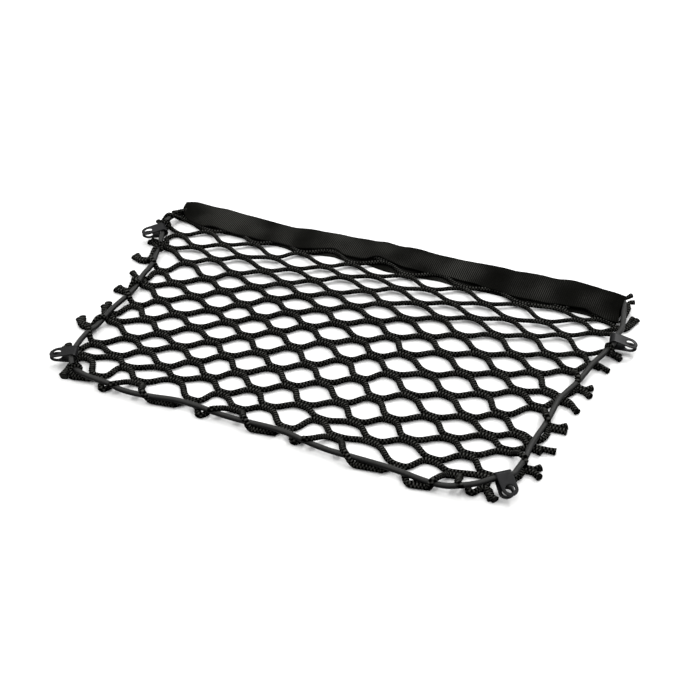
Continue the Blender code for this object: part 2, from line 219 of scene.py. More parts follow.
# Mesh bottoms in front of it: column: x, y of the outermost cord's middle, half of its flat.
FRONT_LOOPS = {
    -9: (-168, -119.5, 5), -7: (-145, -123.5, 0.5), -5: (-96, -121, 7), -3: (-64, -121.5, 0.5),
    -1: (-14, -120.5, 7), 1: (12, -121, 0.5), 3: (71, -126.5, 8), 5: (111, -130, 5),
    7: (145, -121, 0.5),
}
WIDE_LOOP = 3                   # those with a longer half than this are wide and turn twice
LOOP_SLANT = 1.2                # they reach out further at the left, by this much each way
INNER_Z = 2.2                   # their second turn: its height,
INNER_WIDER = 3                 # how much longer it is on each side
INNER_DEPTH = 2.8               # and how far its middle lies behind its ends
NARROW_HALF = 4.0               # a narrow loop: half of its width,
NARROW_DEPTH = 5.2              # how far its ends lie behind its tip
NARROW_OUT = 1                  # and how far the tip lies before y
NARROW_BEYOND = 2.3             # its crossing starts at least so far from its middle
BEFORE_SHARE = 0.35             # where a strand crosses the frame cord, from loop to pad
AFTER_SHARE = 0.6               # and from pad to loop
# Both ends of the two cords along the front, (x, y, z).
LOOP_CORD_START = ((-181, -122, FLOOR_Z), (-182, -115, FLOOR_Z), (-182, -109, FLOOR_Z),
                   (-177, -113, 5.5))
LOOP_CORD_FINISH = ((149, -116, FLOOR_Z), (155, -114, FLOOR_Z), (160, -123, FLOOR_Z))
ROW_CORD_START = ((-179, -123.5, FLOOR_Z), (-181, -115, FLOOR_Z), (-183, -108, FLOOR_Z))
ROW_CORD_FINISH = ((152, -110, FLOOR_Z), (156, -118, FLOOR_Z), (163, -122, FLOOR_Z))

# Turns of net cord round the frame cord: x, y, z of the frame cord there, its heading, lean.
WRAPS = (
    (-172.0, -118.0, 8.2, -30, 20), (-217.0, 91.5, 10.0, -70, -20), (-206, 62, 7.8, -75, 20),
    (184.6, 71, 9.0, -110, 20),
)
# Short lengths of net cord that show by the band's right and left ends, (x, y, z).
BAND_STRANDS = (
    ((173.5, 142, 9.6), (176.5, 145.5, 9.2), (179, 151, 9.0)),
    ((180.5, 118, 3.6), (181.6, 127, 5.2), (181.8, 134.5, 6.8), (180, 140.5, 8.2), (184, 143, 8.6)),
    ((-211, 133, 4.5), (-215.5, 128, 6.4), (-219, 121.5, 7.9), (-221.5, 114, 9.4)),
)

# ---------------------------------------------------------------- cord table ------
CORD_ROUTE = (
    # x, y, z of the frame cord, from the band's left end round the front to its right end
    (-213, 133.5, 4.3), (-218.5, 126, 4.5), (-221, 116, 6.2), (-221, 108, 8.0), (-219.5, 97, 9.6),
    (-216.5, 88, 10.2), (-211, 77, 9.8),
    (-206.5, 64, 8.0), (-203, 52, 5.2), (-197, 35, 6.4), (-195, 18, 7.0), (-193.5, 8, 5.6),
    (-192.3, -3, 4.8), (-191.6, -17, 5.8), (-191.2, -36, 7.0), (-191, -58, 5.2),
    (-191, -70, 7.0), (-188.5, -86, 8.6), (-185, -98.5, 10), (-180, -110.5, 10),
    (-174, -117, 8.4), (-164, -120, 7.2), (-152, -121.5, CORD_UP_Z), (-140, -122.3, CORD_UP_Z),
    (-130, -122.8, 5.2), (-118, -122.6, 5.0), (-104, -121.4, 5.6), (-85, -119.4, CORD_UP_Z),
    (-68, -118.8, 6.6), (-52, -118.5, 5.0), (-40, -118.7, 4.8), (-26, -119, 5.4),
    (-8, -119.5, 6.8), (6, -120.4, CORD_UP_Z), (22, -122, 5.6), (34, -123, 4.9), (46, -124, 5.2),
    (66, -125, 6.4), (84, -125.8, CORD_UP_Z), (100, -127, 6.8), (116, -127, 5.4), (128, -126, 5.4),
    (138, -123.8, 7.4), (149, -118.5, 9.2), (157.8, -110.7, 10.5), (167.2, -102.3, 10.5),
    (168.5, -93, 9.7), (168.5, -78, 7.4), (167.5, -62, 7.0), (167.6, -48, 6.0), (168.1, -34, 4.9),
    (168.4, -20, 5.8), (168.6, -4, 7.0), (170.4, 10, 5.6), (173.4, 24, 4.9), (176, 38, 6.2),
    (178, 50, 7.4), (182.5, 66, 8.6), (185.5, 76, 9.6), (184.4, 88.7, 9.6),
    (185.3, 100, 9.3), (183.6, 111, 9.0), (180.6, 123, 8.9), (178.8, 132, 8.8), (176.5, 138.5, 8.8),
)
LEFT_SIDE = (5, 22)             # the points of the route at the left, the front and the right
FRONT_SIDE = (19, 45)
RIGHT_SIDE = (43, 67)

# ---------------------------------------------------------------- band tables -----
BAND = (
    # x, fold y, lift of the fold, upper selvedge y, its rise, lower selvedge y
    (-223.5, 140.0, 0.0, 125.0, 2.5, 129.0), (-213, 143.5, 0.0, 119.0, 0.5, 123.0),
    (-204, 143.5, 0.0, 115.0, 0.0, 116.0), (-192, 143.0, 0.0, 110.5, 1.0, 110.5),
    (-181, 143.5, 0.0, 113.0, 1.2, 113.5), (-157, 141.5, 0.1, 112.0, 0.0, 114.0),
    (-138, 140.8, 0.1, 112.0, 0.0, 113.0), (-117, 139.3, 0.2, 114.0, 0.0, 114.5),
    (-102, 142.5, 0.3, 112.5, 0.0, 112.0), (-88, 143.5, 0.4, 117.0, 0.3, 114.0),
    (-71, 145.2, 0.5, 123.0, 1.0, 118.0), (-59, 145.1, 0.7, 119.5, 0.2, 117.0),
    (-42, 146.9, 0.9, 121.0, 0.0, 119.0), (-33, 148.7, 0.9, 127.0, 1.2, 117.5),
    (-20, 147.2, 1.1, 124.5, 0.8, 115.5), (-7, 149.2, 1.3, 122.5, 0.3, 116.5),
    (10, 147.2, 1.6, 121.5, 0.0, 117.5), (27, 146.5, 2.0, 123.5, 0.0, 119.5),
    (45, 146.5, 2.3, 122.5, 0.0, 117.5), (62, 148.0, 2.7, 121.5, 0.0, 119.5),
    (82, 147.2, 3.1, 119.5, 0.0, 119.5), (92, 148.3, 3.3, 117.5, 0.0, 119.0),
    (106, 148.6, 3.7, 119.0, 0.0, 120.0), (118, 148.3, 4.0, 119.5, 0.0, 120.0),
    (132, 150.6, 4.3, 121.0, 0.3, 120.5), (148, 149.2, 4.5, 123.0, 1.0, 121.5),
    (158, 147.9, 4.5, 119.5, 0.5, 120.0), (168, 146.8, 4.5, 116.0, 0.0, 116.0),
    (176.5, 145.0, 4.5, 115.0, 0.0, 115.0),
)
WEBBING_WIDTH = 58              # unfolded
UPPER_SELVEDGE_Z = 4.5
UPPER_CROWN = 0.8               # of the upper leaf between the fold and the selvedge
FOLD_RADIUS = 3.6
FOLD_MIDDLE = 4.3               # from the fold's outside to its middle, and from there to the floor
FOLD_STEPS = 6
SECTION_FINE = 6                # curve points for each one of a section
SECTION_STEP = 1.0
LOWER_FLAT = 5                  # the lower leaf lies flat over this much by its selvedge
LOWER_FOOT = ((10, 0.75, 0.0), (5, 0.9, 0.25))  # then: y before the fold's middle, z, share of lift
UPPER_RIPPLES = ((0.3, 6.3, 0), (0.2, 2.9, 1))  # of its selvedge: height, length / 2 pi, phase
FOLD_RIPPLE = (0.2, 5.1, 0)
LEAF_RIPPLE = (0.12, 4.0, 0.3)  # of its surface: height, length / 2 pi, phase for each step
LEAF_FROM = 0.55                # the upper leaf is the part of the width beyond this share
RIB = 1.6                       # distance of the webbing's ribs
BAND_BETWEEN = 10               # sections for each row of the table
BAND_ACROSS = 44                # steps across the webbing
# Pulled corners of the upper leaf: x where the pull starts, run to the band's end, most pull,
# share of the width where it starts, rest of the width. The right one reaches out to the frame
# cord and the left one is drawn in.
CORNERS = ((160, 16.5, 2.8, 0.82, 0.18), (-205, -18.5, 5.0, 0.55, 0.45))

# ---------------------------------------------------------------- clip tables -----
CLIPS = (
    # name, x, y, z of the frame cord there, way the leaves point, dip, splay of the lower leaf
    ("clip_front_left", -182.5, -104.5, 10.0, 203, 8, 2),
    ("clip_front_right", 162.5, -106.5, 10.5, -48, 17, -9),
    ("clip_back_right", 185.0, 82.5, 9.6, 12, 14, -3),
    ("clip_back_left", -214.5, 83.5, 10.2, 220, 8, 3),
)
CLIP_WIDTH = 11.6
CLIP_STEEL = 1.1
CLIP_REACH = 17.5
CLIP_EYE = 3.3                  # radius
CLIP_BEND = 3.45                # radius, middle of the steel
CLIP_CLOSE = {1: 3.5, -1: 13.0}         # upper and lower leaf, degrees towards each other
BEND_STEPS = 20
BEND_ACROSS = 8
EYE_SIDES = 48
EYE_RINGS = (0.0, 0.5, 1.0)     # from the eye to the leaf's edge


# ---------------------------------------------------------------- curves ----------
def catmull(p0, p1, p2, p3, t):
    return 0.5 * ((2 * p1) + (p2 - p0) * t + (2 * p0 - 5 * p1 + 4 * p2 - p3) * t * t
                  + (3 * p1 - p0 - 3 * p2 + p3) * t * t * t)


def smooth(points, steps, closed=False):
    """Many points of the smooth curve through a few."""
    points = [Vector(p) for p in points]
    if closed:
        padded = [points[-1]] + points + points[:2]
    else:
        padded = [2 * points[0] - points[1]] + points + [2 * points[-1] - points[-2]]
    fine = []
    for i in range(1, len(padded) - 2):
        fine += [catmull(*padded[i - 1:i + 3], k / steps) for k in range(steps)]
    fine.append(padded[-2] if not closed else fine[0].copy())
    return fine


def through(knots, pull, steps=16):
    """The smooth curve through knots (point, way it runs there or None)."""
    points = [Vector(p) for p, _ in knots]
    last = len(points) - 1
    ways = []
    for i, (_, way) in enumerate(knots):
        if way is None:
            way = points[min(i + 1, last)] - points[max(i - 1, 0)]
        ways.append(Vector(way).normalized())
    fine = []
    for i in range(last):
        a, d = points[i], points[i + 1]
        reach = (d - a).length * pull
        b, c = a + ways[i] * reach, d - ways[i + 1] * reach
        for k in range(steps):
            t = k / steps
            r = 1 - t
            fine.append(a * r ** 3 + b * 3 * r * r * t + c * 3 * r * t * t + d * t ** 3)
    fine.append(points[-1])
    return fine


def free(points):
    """Knots for through, whose way isn't set."""
    return [(Vector(p), None) for p in points]


def length(points):
    return sum((b - a).length for a, b in zip(points, points[1:]))


def even(fine, step):
    """The same curve with points a step apart."""
    lengths = [0.0]
    for a, b in zip(fine, fine[1:]):
        lengths.append(lengths[-1] + (b - a).length)
    count = max(2, round(lengths[-1] / step))
    result, k = [], 0
    for i in range(count + 1):
        target = lengths[-1] * i / count
        while k < len(fine) - 2 and lengths[k + 1] < target:
            k += 1
        gap = max(lengths[k + 1] - lengths[k], 1e-9)
        result.append(fine[k].lerp(fine[k + 1], (target - lengths[k]) / gap))
    return result


# ---------------------------------------------------------------- objects ---------
def new_mesh(name, points, faces, uvs=()):
    mesh = bpy.data.meshes.new(name)
    mesh.from_pydata(points, [], faces)
    if uvs:
        layer = mesh.uv_layers.new(name="weave")
        layer.data.foreach_set("uv", [v for pair in uvs for v in pair])
    return mesh


def add_object(name, mesh, material):
    mesh.shade_smooth()
    mesh.materials.append(material)
    item = bpy.data.objects.new(name, mesh)
    bpy.context.scene.collection.objects.link(item)
    return item


def thicken(item, thickness, rounding, segments, sharp):
    """Gives a sheet its thickness and rounds its edges (mm, degrees)."""
    thick = item.modifiers.new("thickness", "SOLIDIFY")
    thick.thickness = thickness / 1000
    thick.offset = 0.0
    edge = item.modifiers.new("edge", "BEVEL")
    edge.width = rounding / 1000
    edge.segments = segments
    edge.limit_method = "ANGLE"
    edge.angle_limit = math.radians(sharp)


# ---------------------------------------------------------------- tubes -----------
class Tubes:
    """Several braided tubes in one mesh, with the stitch count along and round as UV."""

    def __init__(self):
        self.points, self.faces, self.uvs = [], [], []

    def add(self, path, width, height, sides=12, stitch=STITCH, plait=0.0, closed=False,
            flare=(0.0, 0.0), upright=Vector((0, 0, 1))):
        """Sweep an oval along path (mm). flare widens the first and last FLARE_RUN mm."""
        first = len(self.points)
        total = length(path)
        run = 0.0
        runs = []
        for i, p in enumerate(path):
            if i:
                run += (p - path[i - 1]).length
            runs.append(run / stitch)
            swell = 1.0 + (flare[0] * max(0.0, 1 - run / FLARE_RUN)
                           + flare[1] * max(0.0, 1 - (total - run) / FLARE_RUN))
            across, up = self.axes(path, i, closed, upright)
            for k in range(sides):
                turn = 2 * math.pi * k / sides
                r = swell * (1.0 + plait * math.cos(2 * math.pi * run / stitch) * math.cos(2 * turn))
                q = p + across * (math.cos(turn) * width / 2 * r)
                q = q + up * (math.sin(turn) * height / 2 * r)
                self.points.append(plan(q.x, q.y, max(q.z, LEAST_Z)))
        if closed:
            self.skin(first, runs, sides, runs[-1] + (path[0] - path[-1]).length / stitch)
        else:
            self.skin(first, runs, sides)
            self.cap(path, first, runs, sides)

    @staticmethod
    def axes(path, i, closed, upright):
        """Across and up at point i of the path."""
        if closed:
            ahead, behind = path[(i + 1) % len(path)], path[i - 1]
        else:
            ahead, behind = path[min(i + 1, len(path) - 1)], path[max(i - 1, 0)]
        along = (ahead - behind).normalized()
        across = along.cross(upright).normalized()
        return across, across.cross(along)

    def skin(self, first, runs, sides, once_round=None):
        """Faces between the rings. once_round is a closed tube's stitch count."""
        count = len(runs)
        for i in range(count - 1 if once_round is None else count):
            n = (i + 1) % count
            u0, u1 = runs[i], runs[n] if n else once_round
            for k in range(sides):
                m = (k + 1) % sides
                a, b = first + i * sides + k, first + n * sides + k
                c, d = first + n * sides + m, first + i * sides + m
                self.faces.append((a, b, c, d))
                v0, v1 = k / sides, (k + 1) / sides
                self.uvs += [(u0, v0), (u1, v0), (u1, v1), (u0, v1)]

    def cap(self, path, first, runs, sides):
        """Dished cut ends."""
        for end, inward in ((0, 1), (len(path) - 1, -1)):
            ring = [first + end * sides + k for k in range(sides)]
            along = (path[end] - path[end + inward]).normalized()
            dish = path[end] - along * TIP_DISH
            self.points.append(plan(dish.x, dish.y, dish.z))
            middle = len(self.points) - 1
            for k in range(sides):
                a, b = ring[k], ring[(k + 1) % sides]
                self.faces.append((a, b, middle) if inward > 0 else (b, a, middle))
                self.uvs += [(runs[end], 0), (runs[end], 0.2), (runs[end], 0.1)]

    def build(self, name, material):
        return add_object(name, new_mesh(name, self.points, self.faces, self.uvs), material)


# ---------------------------------------------------------------- materials -------
# Colour ramps: (tone, linear colour). The net's and the frame cord's ramps carry painted shade:
# their dark ends darken the creases and the lower sides of the cords.
NET_PAINTED_SHADE_TONES = ((0.36, (0.0002, 0.0002, 0.0002)), (0.55, (0.0036, 0.0036, 0.0033)),
             (0.95, (0.052, 0.052, 0.048)))
# The frame cord's dark end is painted shade on its sides and lower side.
FRAME_CORD_PAINTED_LIGHT_TONES = ((0.05, (0.0012, 0.0012, 0.0012)), (0.9, (0.030, 0.030, 0.029)))
WEBBING_TONES = ((0.20, (0.0022, 0.0022, 0.0019)), (0.48, (0.0062, 0.0062, 0.0056)),
                 (1.0, (0.042, 0.042, 0.038)))
STEEL_TONES = ((0.35, (0.0012, 0.0012, 0.0014)), (0.75, (0.006, 0.006, 0.0068)))
FLOOR_TONES = ((0.3, (0.71, 0.71, 0.706)), (0.7, (0.73, 0.73, 0.726)))
FULL_TURN = 2 * math.pi


class Nodes:
    """Small helper for one material's node tree."""

    def __init__(self, name):
        self.material = bpy.data.materials.new(name)
        self.material.use_nodes = True
        self.tree = self.material.node_tree
        self.shader = self.tree.nodes["Principled BSDF"]

    def new(self, kind, **values):
        node = self.tree.nodes.new(kind)
        for key, value in values.items():
            if hasattr(node, key):
                setattr(node, key, value)
            else:
                node.inputs[key].default_value = value
        return node

    def feed(self, value, slot):
        """Sets a slot to a number, or links a node's output to it."""
        if isinstance(value, (int, float)):
            slot.default_value = value
        else:
            self.tree.links.new(value, slot)

    def math(self, operation, a, b=None, clamp=False):
        node = self.new("ShaderNodeMath", operation=operation, use_clamp=clamp)
        for slot, value in zip(node.inputs, (a, b)):
            if value is not None:
                self.feed(value, slot)
        return node.outputs[0]

    def times(self, a, b):
        return self.math("MULTIPLY", a, b)

    def line(self, value, slope, level, clamp=False):
        """value * slope + level."""
        return self.math("ADD", self.times(value, slope), level, clamp)

    def ramp(self, factor, stops):
        node = self.new("ShaderNodeValToRGB")
        self.feed(factor, node.inputs[0])
        elements = node.color_ramp.elements
        elements[0].position, elements[0].color = stops[0][0], (*stops[0][1], 1)
        elements[1].position, elements[1].color = stops[-1][0], (*stops[-1][1], 1)
        for position, colour in stops[1:-1]:
            elements.new(position).color = (*colour, 1)
        return node.outputs[0]

    def noise(self, scale, detail):
        node = self.new("ShaderNodeTexNoise", Scale=scale, Detail=detail)
        self.feed(self.new("ShaderNodeTexCoord").outputs["Object"], node.inputs["Vector"])
        return node.outputs[0]

    def uv(self):
        node = self.new("ShaderNodeUVMap", uv_map="weave")
        split = self.new("ShaderNodeSeparateXYZ")
        self.feed(node.outputs[0], split.inputs[0])
        return split.outputs[0], split.outputs[1]

    def bump(self, height, distance):
        node = self.new("ShaderNodeBump", Strength=1.0, Distance=distance)
        self.feed(height, node.inputs["Height"])
        self.feed(node.outputs[0], self.shader.inputs["Normal"])

    def surface(self, colour, roughness, specular):
        """The material with this surface."""
        self.feed(colour, self.shader.inputs["Base Color"])
        self.feed(roughness, self.shader.inputs["Roughness"])
        self.feed(specular, self.shader.inputs["Specular IOR Level"])
        return self.material


def bead_height(n, per_stitch, strands):
    """0 to 1: beads in a chequered pattern, as the crossing strands of a plait show."""
    u, v = n.uv()
    u = n.math("COSINE", n.times(u, FULL_TURN * per_stitch))
    v = n.math("COSINE", n.times(v, FULL_TURN * strands))
    return n.line(n.times(u, v), 0.5, 0.5)


def painted_underside_shade(n, slope, level, least):
    """Painted shade: 1 on a cord's upper side, down to least on its lower one, whose colour is
    darkened as if it lay in shade.
    """
    side = n.math("SINE", n.times(n.uv()[1], FULL_TURN))
    return n.line(n.line(side, slope, level, clamp=True), 1 - least, least)


def net_material():
    n = Nodes("net_cord")
    bead = bead_height(n, per_stitch=1.0, strands=2)
    fibre = n.noise(900, 2)
    n.bump(n.line(fibre, 0.3, bead), 0.0006)
    # The plait's beads show in the colour, and the gaps between them are darkened as painted shade
    # in the creases.
    tone = n.line(bead, 0.85, n.times(fibre, 0.25))
    tone = n.times(tone, n.line(n.noise(230, 1), 0.6, 0.72))
    # Painted shade: the lower side of each net cord is darkened in its colour.
    tone = n.times(tone, painted_underside_shade(n, slope=1.1, level=0.35, least=0.35))
    return n.surface(n.ramp(tone, NET_PAINTED_SHADE_TONES), roughness=0.65, specular=0.0)


def frame_cord_material():
    n = Nodes("frame_cord_cover")
    weave = bead_height(n, per_stitch=4.0, strands=10)
    fibre = n.noise(900, 3)
    n.bump(n.line(fibre, 0.4, weave), 0.00010)
    # Painted light: the cover's sides and lower side are darkened to black in its colour, which
    # leaves a lighter streak along its top.
    side = painted_underside_shade(n, slope=1.7, level=-0.4, least=0.0)
    tone = n.math("ADD", n.line(weave, 0.2, n.times(fibre, 0.4)), 0.5)
    return n.surface(n.ramp(n.times(tone, side), FRAME_CORD_PAINTED_LIGHT_TONES), roughness=0.35, specular=0.05)


def webbing_material():
    n = Nodes("webbing")
    u, v = n.uv()
    wander = n.noise(35, 2)
    rib = n.math("SINE", n.line(u, FULL_TURN, n.times(wander, 1.5)))
    pick = n.math("SINE", n.times(v, FULL_TURN))
    fibre = n.noise(1300, 3)
    clear = n.line(n.noise(28, 1), 2.6, -0.75, clamp=True)      # where the ribs show
    ribs = n.times(n.line(rib, 0.5, 0.5), clear)
    n.bump(n.line(pick, 0.12, n.line(fibre, 0.35, ribs)), 0.0004)
    tone = n.line(ribs, 0.75, n.times(fibre, 0.45))
    return n.surface(n.ramp(tone, WEBBING_TONES), roughness=0.75, specular=0.0)


def clip_material():
    n = Nodes("coated_steel")
    grain = n.noise(500, 3)
    broad = n.noise(110, 2)
    n.bump(grain, 0.00008)
    return n.surface(n.ramp(broad, STEEL_TONES), roughness=n.line(broad, 0.3, 0.22), specular=0.13)


def floor_material():
    n = Nodes("floor")
    return n.surface(n.ramp(n.noise(3, 2), FLOOR_TONES), roughness=0.9, specular=0.0)


# ---------------------------------------------------------------- net -------------
def junctions():
    """Middle of every junction: (column, row): (x, y, z)."""
    places = {}
    for row, seen in NET_ROWS.items():
        first = LEFT_COLUMN + (1 if row % 2 else 2)
        for k, (x, y) in enumerate(seen):
            column = first + 2 * k
            edge = column in (LEFT_COLUMN + 1, RIGHT_COLUMN - 1) or row == FRONT_ROW + 1
            z = FLOOR_Z if edge else FIELD_Z + RAISED.get(row, 0.0)
            z += random.uniform(*HEIGHT_SPREAD)
            if row < 0:
                y -= NEAR_SHIFT
            # from the plane where it was seen down to its own height, along the line of sight
            drop = (SEEN_Z - z) / (CAMERA_PLACE.z - SEEN_Z)
            places[column, row] = (x + (x - CAMERA_PLACE.x) * drop,
                                   y + (y - CAMERA_PLACE.y) * drop, z)
    for column, ends in ((LEFT_COLUMN, LEFT_ENDS), (RIGHT_COLUMN, RIGHT_ENDS)):
        for row, (x, y, _) in ends.items():
            places[column, row] = (x, y, FLOOR_Z)
    for column, (x, y) in FRONT_PADS.items():
        places[column, FRONT_ROW] = (x, y, FLOOR_Z)
    return places


def row_direction(places, column, row):
    left, right = places.get((column - 2, row)), places.get((column + 2, row))
    here = places[column, row]
    left, right = left or here, right or here
    along = Vector((right[0] - left[0], right[1] - left[1], 0))
    return along.normalized() if along.length > 1 else Vector((1, 0, 0))


def rows_beyond(row):
    """How many rows it is from the last wide one towards the band."""
    return max(0, row - LAST_WIDE_ROW)


def cord_width(row):
    return CORD_WIDTH - CORD_THINNER * rows_beyond(row)


def pad_knots(places, column, row, upper):
    """Two knots of the upper or the lower cord in a pad, from left to right."""
    x, y, z = places[column, row]
    along = row_direction(places, column, row)
    side = Vector((-along.y, along.x, 0))
    width = cord_width(row)
    run = PAD_RUN * width
    offset = PAD_OFFSET * width * (1 if upper else -1)
    if column in (LEFT_COLUMN, RIGHT_COLUMN):
        offset *= END_PAD_OFFSET
        z += END_UPPER_RISE if upper else -END_LOWER_DROP
    middle = Vector((x, y, z)) + side * offset
    return [(middle - along * run, along), (middle + along * run, along)]


def frame_cord_at(value, axis, low, high):
    """Where the frame cord runs at x = value or y = value, among the route's points low to high."""
    other = 1 - axis
    route = CORD_ROUTE[low:high]
    for a, b in zip(route, route[1:]):
        if min(a[axis], b[axis]) <= value <= max(a[axis], b[axis]):
            share = (value - a[axis]) / (b[axis] - a[axis])
            return a[other] + (b[other] - a[other]) * share
    return min(route, key=lambda p: abs(p[axis] - value))[other]


def over_side(end, inner):
    """A knot over the frame cord at a side, between the end pad and the pad inside."""
    y = end[0].y + (inner[0].y - end[0].y) * SIDE_CROSSING
    left = end[0].x < 0
    x = frame_cord_at(y, 1, *(LEFT_SIDE if left else RIGHT_SIDE))
    return Vector((x + (-SIDE_OUT if left else SIDE_OUT), y, OVER_Z)), None


def over_front(x):
    """A knot over the frame cord at the front."""
    return Vector((x, frame_cord_at(x, 0, *FRONT_SIDE) - FRONT_OUT, OVER_Z)), None


def net_cord_path(places, low):
    """The knots of one zigzag cord, from left to right. It is the upper cord of the pads in
    row low and the lower one of those in the row above."""
    knots = []
    for column in range(LEFT_COLUMN, RIGHT_COLUMN + 1):
        row = low if (column + low) % 2 == 0 else low + 1
        if (column, row) in places:
            knots += pad_knots(places, column, row, upper=(row == low))
    knots = free(BACK_STARTS.get(low, ())) + knots
    row = low if low % 2 == 0 else low + 1      # the row of its end pads
    which = 0 if row == low else 1              # upper or lower cord there
    if row in LEFT_ENDS:
        if LEFT_ENDS[row][2]:
            knots.insert(2, over_side(knots[1], knots[2]))
        elif low in LEFT_BENDS:
            knots[2:2] = free([LEFT_BENDS[low]])
        knots[:0] = free([(*LEFT_TIPS[row][which], FLOOR_Z)])
    if row in RIGHT_ENDS:
        if row in RIGHT_CROSSINGS:
            over, *under = RIGHT_CROSSINGS[row]
            knots[-2:-2] = free([(x, y, FLOOR_Z) for x, y in under] if which else [over])
        elif RIGHT_ENDS[row][2]:
            knots.insert(len(knots) - 2, over_side(knots[-2], knots[-3]))
        knots += free([(*RIGHT_TIPS[row][which], FLOOR_Z)])
    return knots


def add_cord(tubes, knots, width=CORD_WIDTH, pull=PULL, flare=(0.0, 0.0)):
    """Adds a plaited net cord through knots."""
    path = even(through(knots, pull), RING_STEP)
    tubes.add(path, width, width * CORD_HEIGHT, plait=PLAIT, flare=flare)


def add_net(material, places, name, rows):
    tubes = Tubes()
    for low in rows:
        pull = PULL - PULL_LESS * rows_beyond(low)
        add_cord(tubes, net_cord_path(places, low), cord_width(low), pull, NET_FLARE)
    return tubes.build(name, material)


# ---------------------------------------------------------------- front edge ------
FRONT_COLUMNS = range(LEFT_COLUMN + 1, RIGHT_COLUMN)


def loop_cord_knots(places):
    """The lowest cord: it hangs in the loops and, at every second pad, crosses over the frame
    cord on both sides."""
    knots = []
    for column in FRONT_COLUMNS:
        if column % 2:
            x, y, flat = FRONT_LOOPS[column]
            if flat > WIDE_LOOP:
                way = Vector((flat, LOOP_SLANT, 0))
                middle = Vector((x, y, FLOOR_Z))
                knots += [(middle - way, way), (middle + way, way)]
            else:
                knots += free((x + side * NARROW_HALF,
                               y - NARROW_OUT + NARROW_DEPTH * abs(side), FLOOR_Z)
                              for side in (-1, 0, 1))
            continue
        left, right = pad_knots(places, column, FRONT_ROW, upper=False)
        if column % 4 == 2:
            x, _, flat = FRONT_LOOPS[column + 1]
            beyond = x - max(flat, NARROW_BEYOND)
            before = knots[-1][0].x * (1 - BEFORE_SHARE) + left[0].x * BEFORE_SHARE
            after = right[0].x * (1 - AFTER_SHARE) + beyond * AFTER_SHARE
            knots += [over_front(before), left, right, over_front(after)]
        else:
            knots += [left, right]
    return free(LOOP_CORD_START) + knots + free(LOOP_CORD_FINISH)


def row_cord_knots(places):
    """The cord above it, which joins the front pads to the first row of the field."""
    knots = []
    for column in FRONT_COLUMNS:
        if column % 2:
            knots += pad_knots(places, column, FRONT_ROW + 1, upper=False)
        else:
            knots += pad_knots(places, column, FRONT_ROW, upper=True)
    return free(ROW_CORD_START) + knots + free(ROW_CORD_FINISH)


def second_turn_knots(x, y, flat):
    """The second turn of cord inside a wide loop."""
    return free((x + side * (flat + INNER_WIDER),
                 y + side * LOOP_SLANT + INNER_DEPTH * (1 - side * side), INNER_Z)
                for side in (-1, -0.5, 0, 0.5, 1))


def add_wrap(tubes, x, y, z, heading, lean):
    """Adds a single turn of cord round the frame cord."""
    c, s = math.cos(math.radians(heading)), math.sin(math.radians(heading))
    around = FRAME_CORD / 2 + TURN_CLEAR
    ring = []
    for k in range(TURN_STEPS):
        turn = 2 * math.pi * k / TURN_STEPS
        across, up = around * math.cos(turn), around * math.sin(turn)
        along = across * math.tan(math.radians(lean))
        ring.append(Vector((x + along * c - across * s, y + along * s + across * c, z + up)))
    tubes.add(ring, TURN_CORD, TURN_CORD, plait=TURN_PLAIT, closed=True, upright=Vector((c, s, 0)))


def add_front(material, places):
    """The cords along the front, the turns round the frame cord and the strands by the band."""
    tubes = Tubes()
    add_cord(tubes, loop_cord_knots(places), pull=LOOP_PULL, flare=FRONT_FLARE)
    add_cord(tubes, row_cord_knots(places), flare=FRONT_FLARE)
    for x, y, flat in FRONT_LOOPS.values():
        if flat > WIDE_LOOP:
            add_cord(tubes, second_turn_knots(x, y, flat))
    for wrap in WRAPS:
        add_wrap(tubes, *wrap)
    for points in BAND_STRANDS:
        path = even(through(free(points), PULL), RING_STEP)
        tubes.add(path, TURN_CORD, STRAND_HEIGHT, plait=PLAIT, flare=STRAND_FLARE)
    return tubes.build("net_front", material)


# ---------------------------------------------------------------- frame cord ------
def add_frame_cord(material):
    """The frame cord, once round. Its run inside the band's fold is hidden."""
    points = [Vector(p) for p in CORD_ROUTE]
    for x, fold_y, lift, *_ in reversed(BAND[2:-1]):
        points.append(Vector((x, fold_y - FOLD_MIDDLE, FOLD_MIDDLE + lift)))
    path = even(smooth(points, FRAME_CORD_FINE, closed=True), FRAME_CORD_STEP)[:-1]
    tubes = Tubes()
    tubes.add(path, FRAME_CORD, FRAME_CORD, FRAME_CORD_SIDES, FRAME_CORD_STITCH, closed=True)
    return tubes.build("frame_cord_cover", material)


# ---------------------------------------------------------------- band ------------
def ripple(x, *waves):
    return sum(high * math.sin(x / long + phase) for high, long, phase in waves)


def corner_pull(x, share):
    """How far the webbing is pulled along x, at this share of its width."""
    return sum(most * max(0.0, (x - start) / run) ** 2 * max(0.0, share - low) / rest
               for start, run, most, low, rest in CORNERS)


def band_section(fold_y, lift, upper_y, rise, lower_y):
    """Middle line of the folded webbing across the band, (y, z) in mm."""
    centre_y, centre_z = fold_y - FOLD_RADIUS - WEBBING / 2, FOLD_MIDDLE + lift
    points = [(lower_y, WEBBING / 2), (lower_y + LOWER_FLAT, WEBBING / 2)]
    points += [(centre_y - before, z + lift * share) for before, z, share in LOWER_FOOT]
    for step in range(FOLD_STEPS + 1):
        angle = math.radians(-90 + 180 * step / FOLD_STEPS)
        points.append((centre_y + FOLD_RADIUS * math.cos(angle),
                       centre_z + FOLD_RADIUS * math.sin(angle)))
    upper_z = UPPER_SELVEDGE_Z + rise
    top = centre_z + FOLD_RADIUS
    for share in (0.25, 0.5, 0.75):
        y = centre_y + (upper_y - centre_y) * share
        z = top + (upper_z - top) * share + UPPER_CROWN * math.sin(math.pi * share)
        points.append((y, z))
    points.append((upper_y, upper_z))
    return [Vector((0, y, z)) for y, z in points]


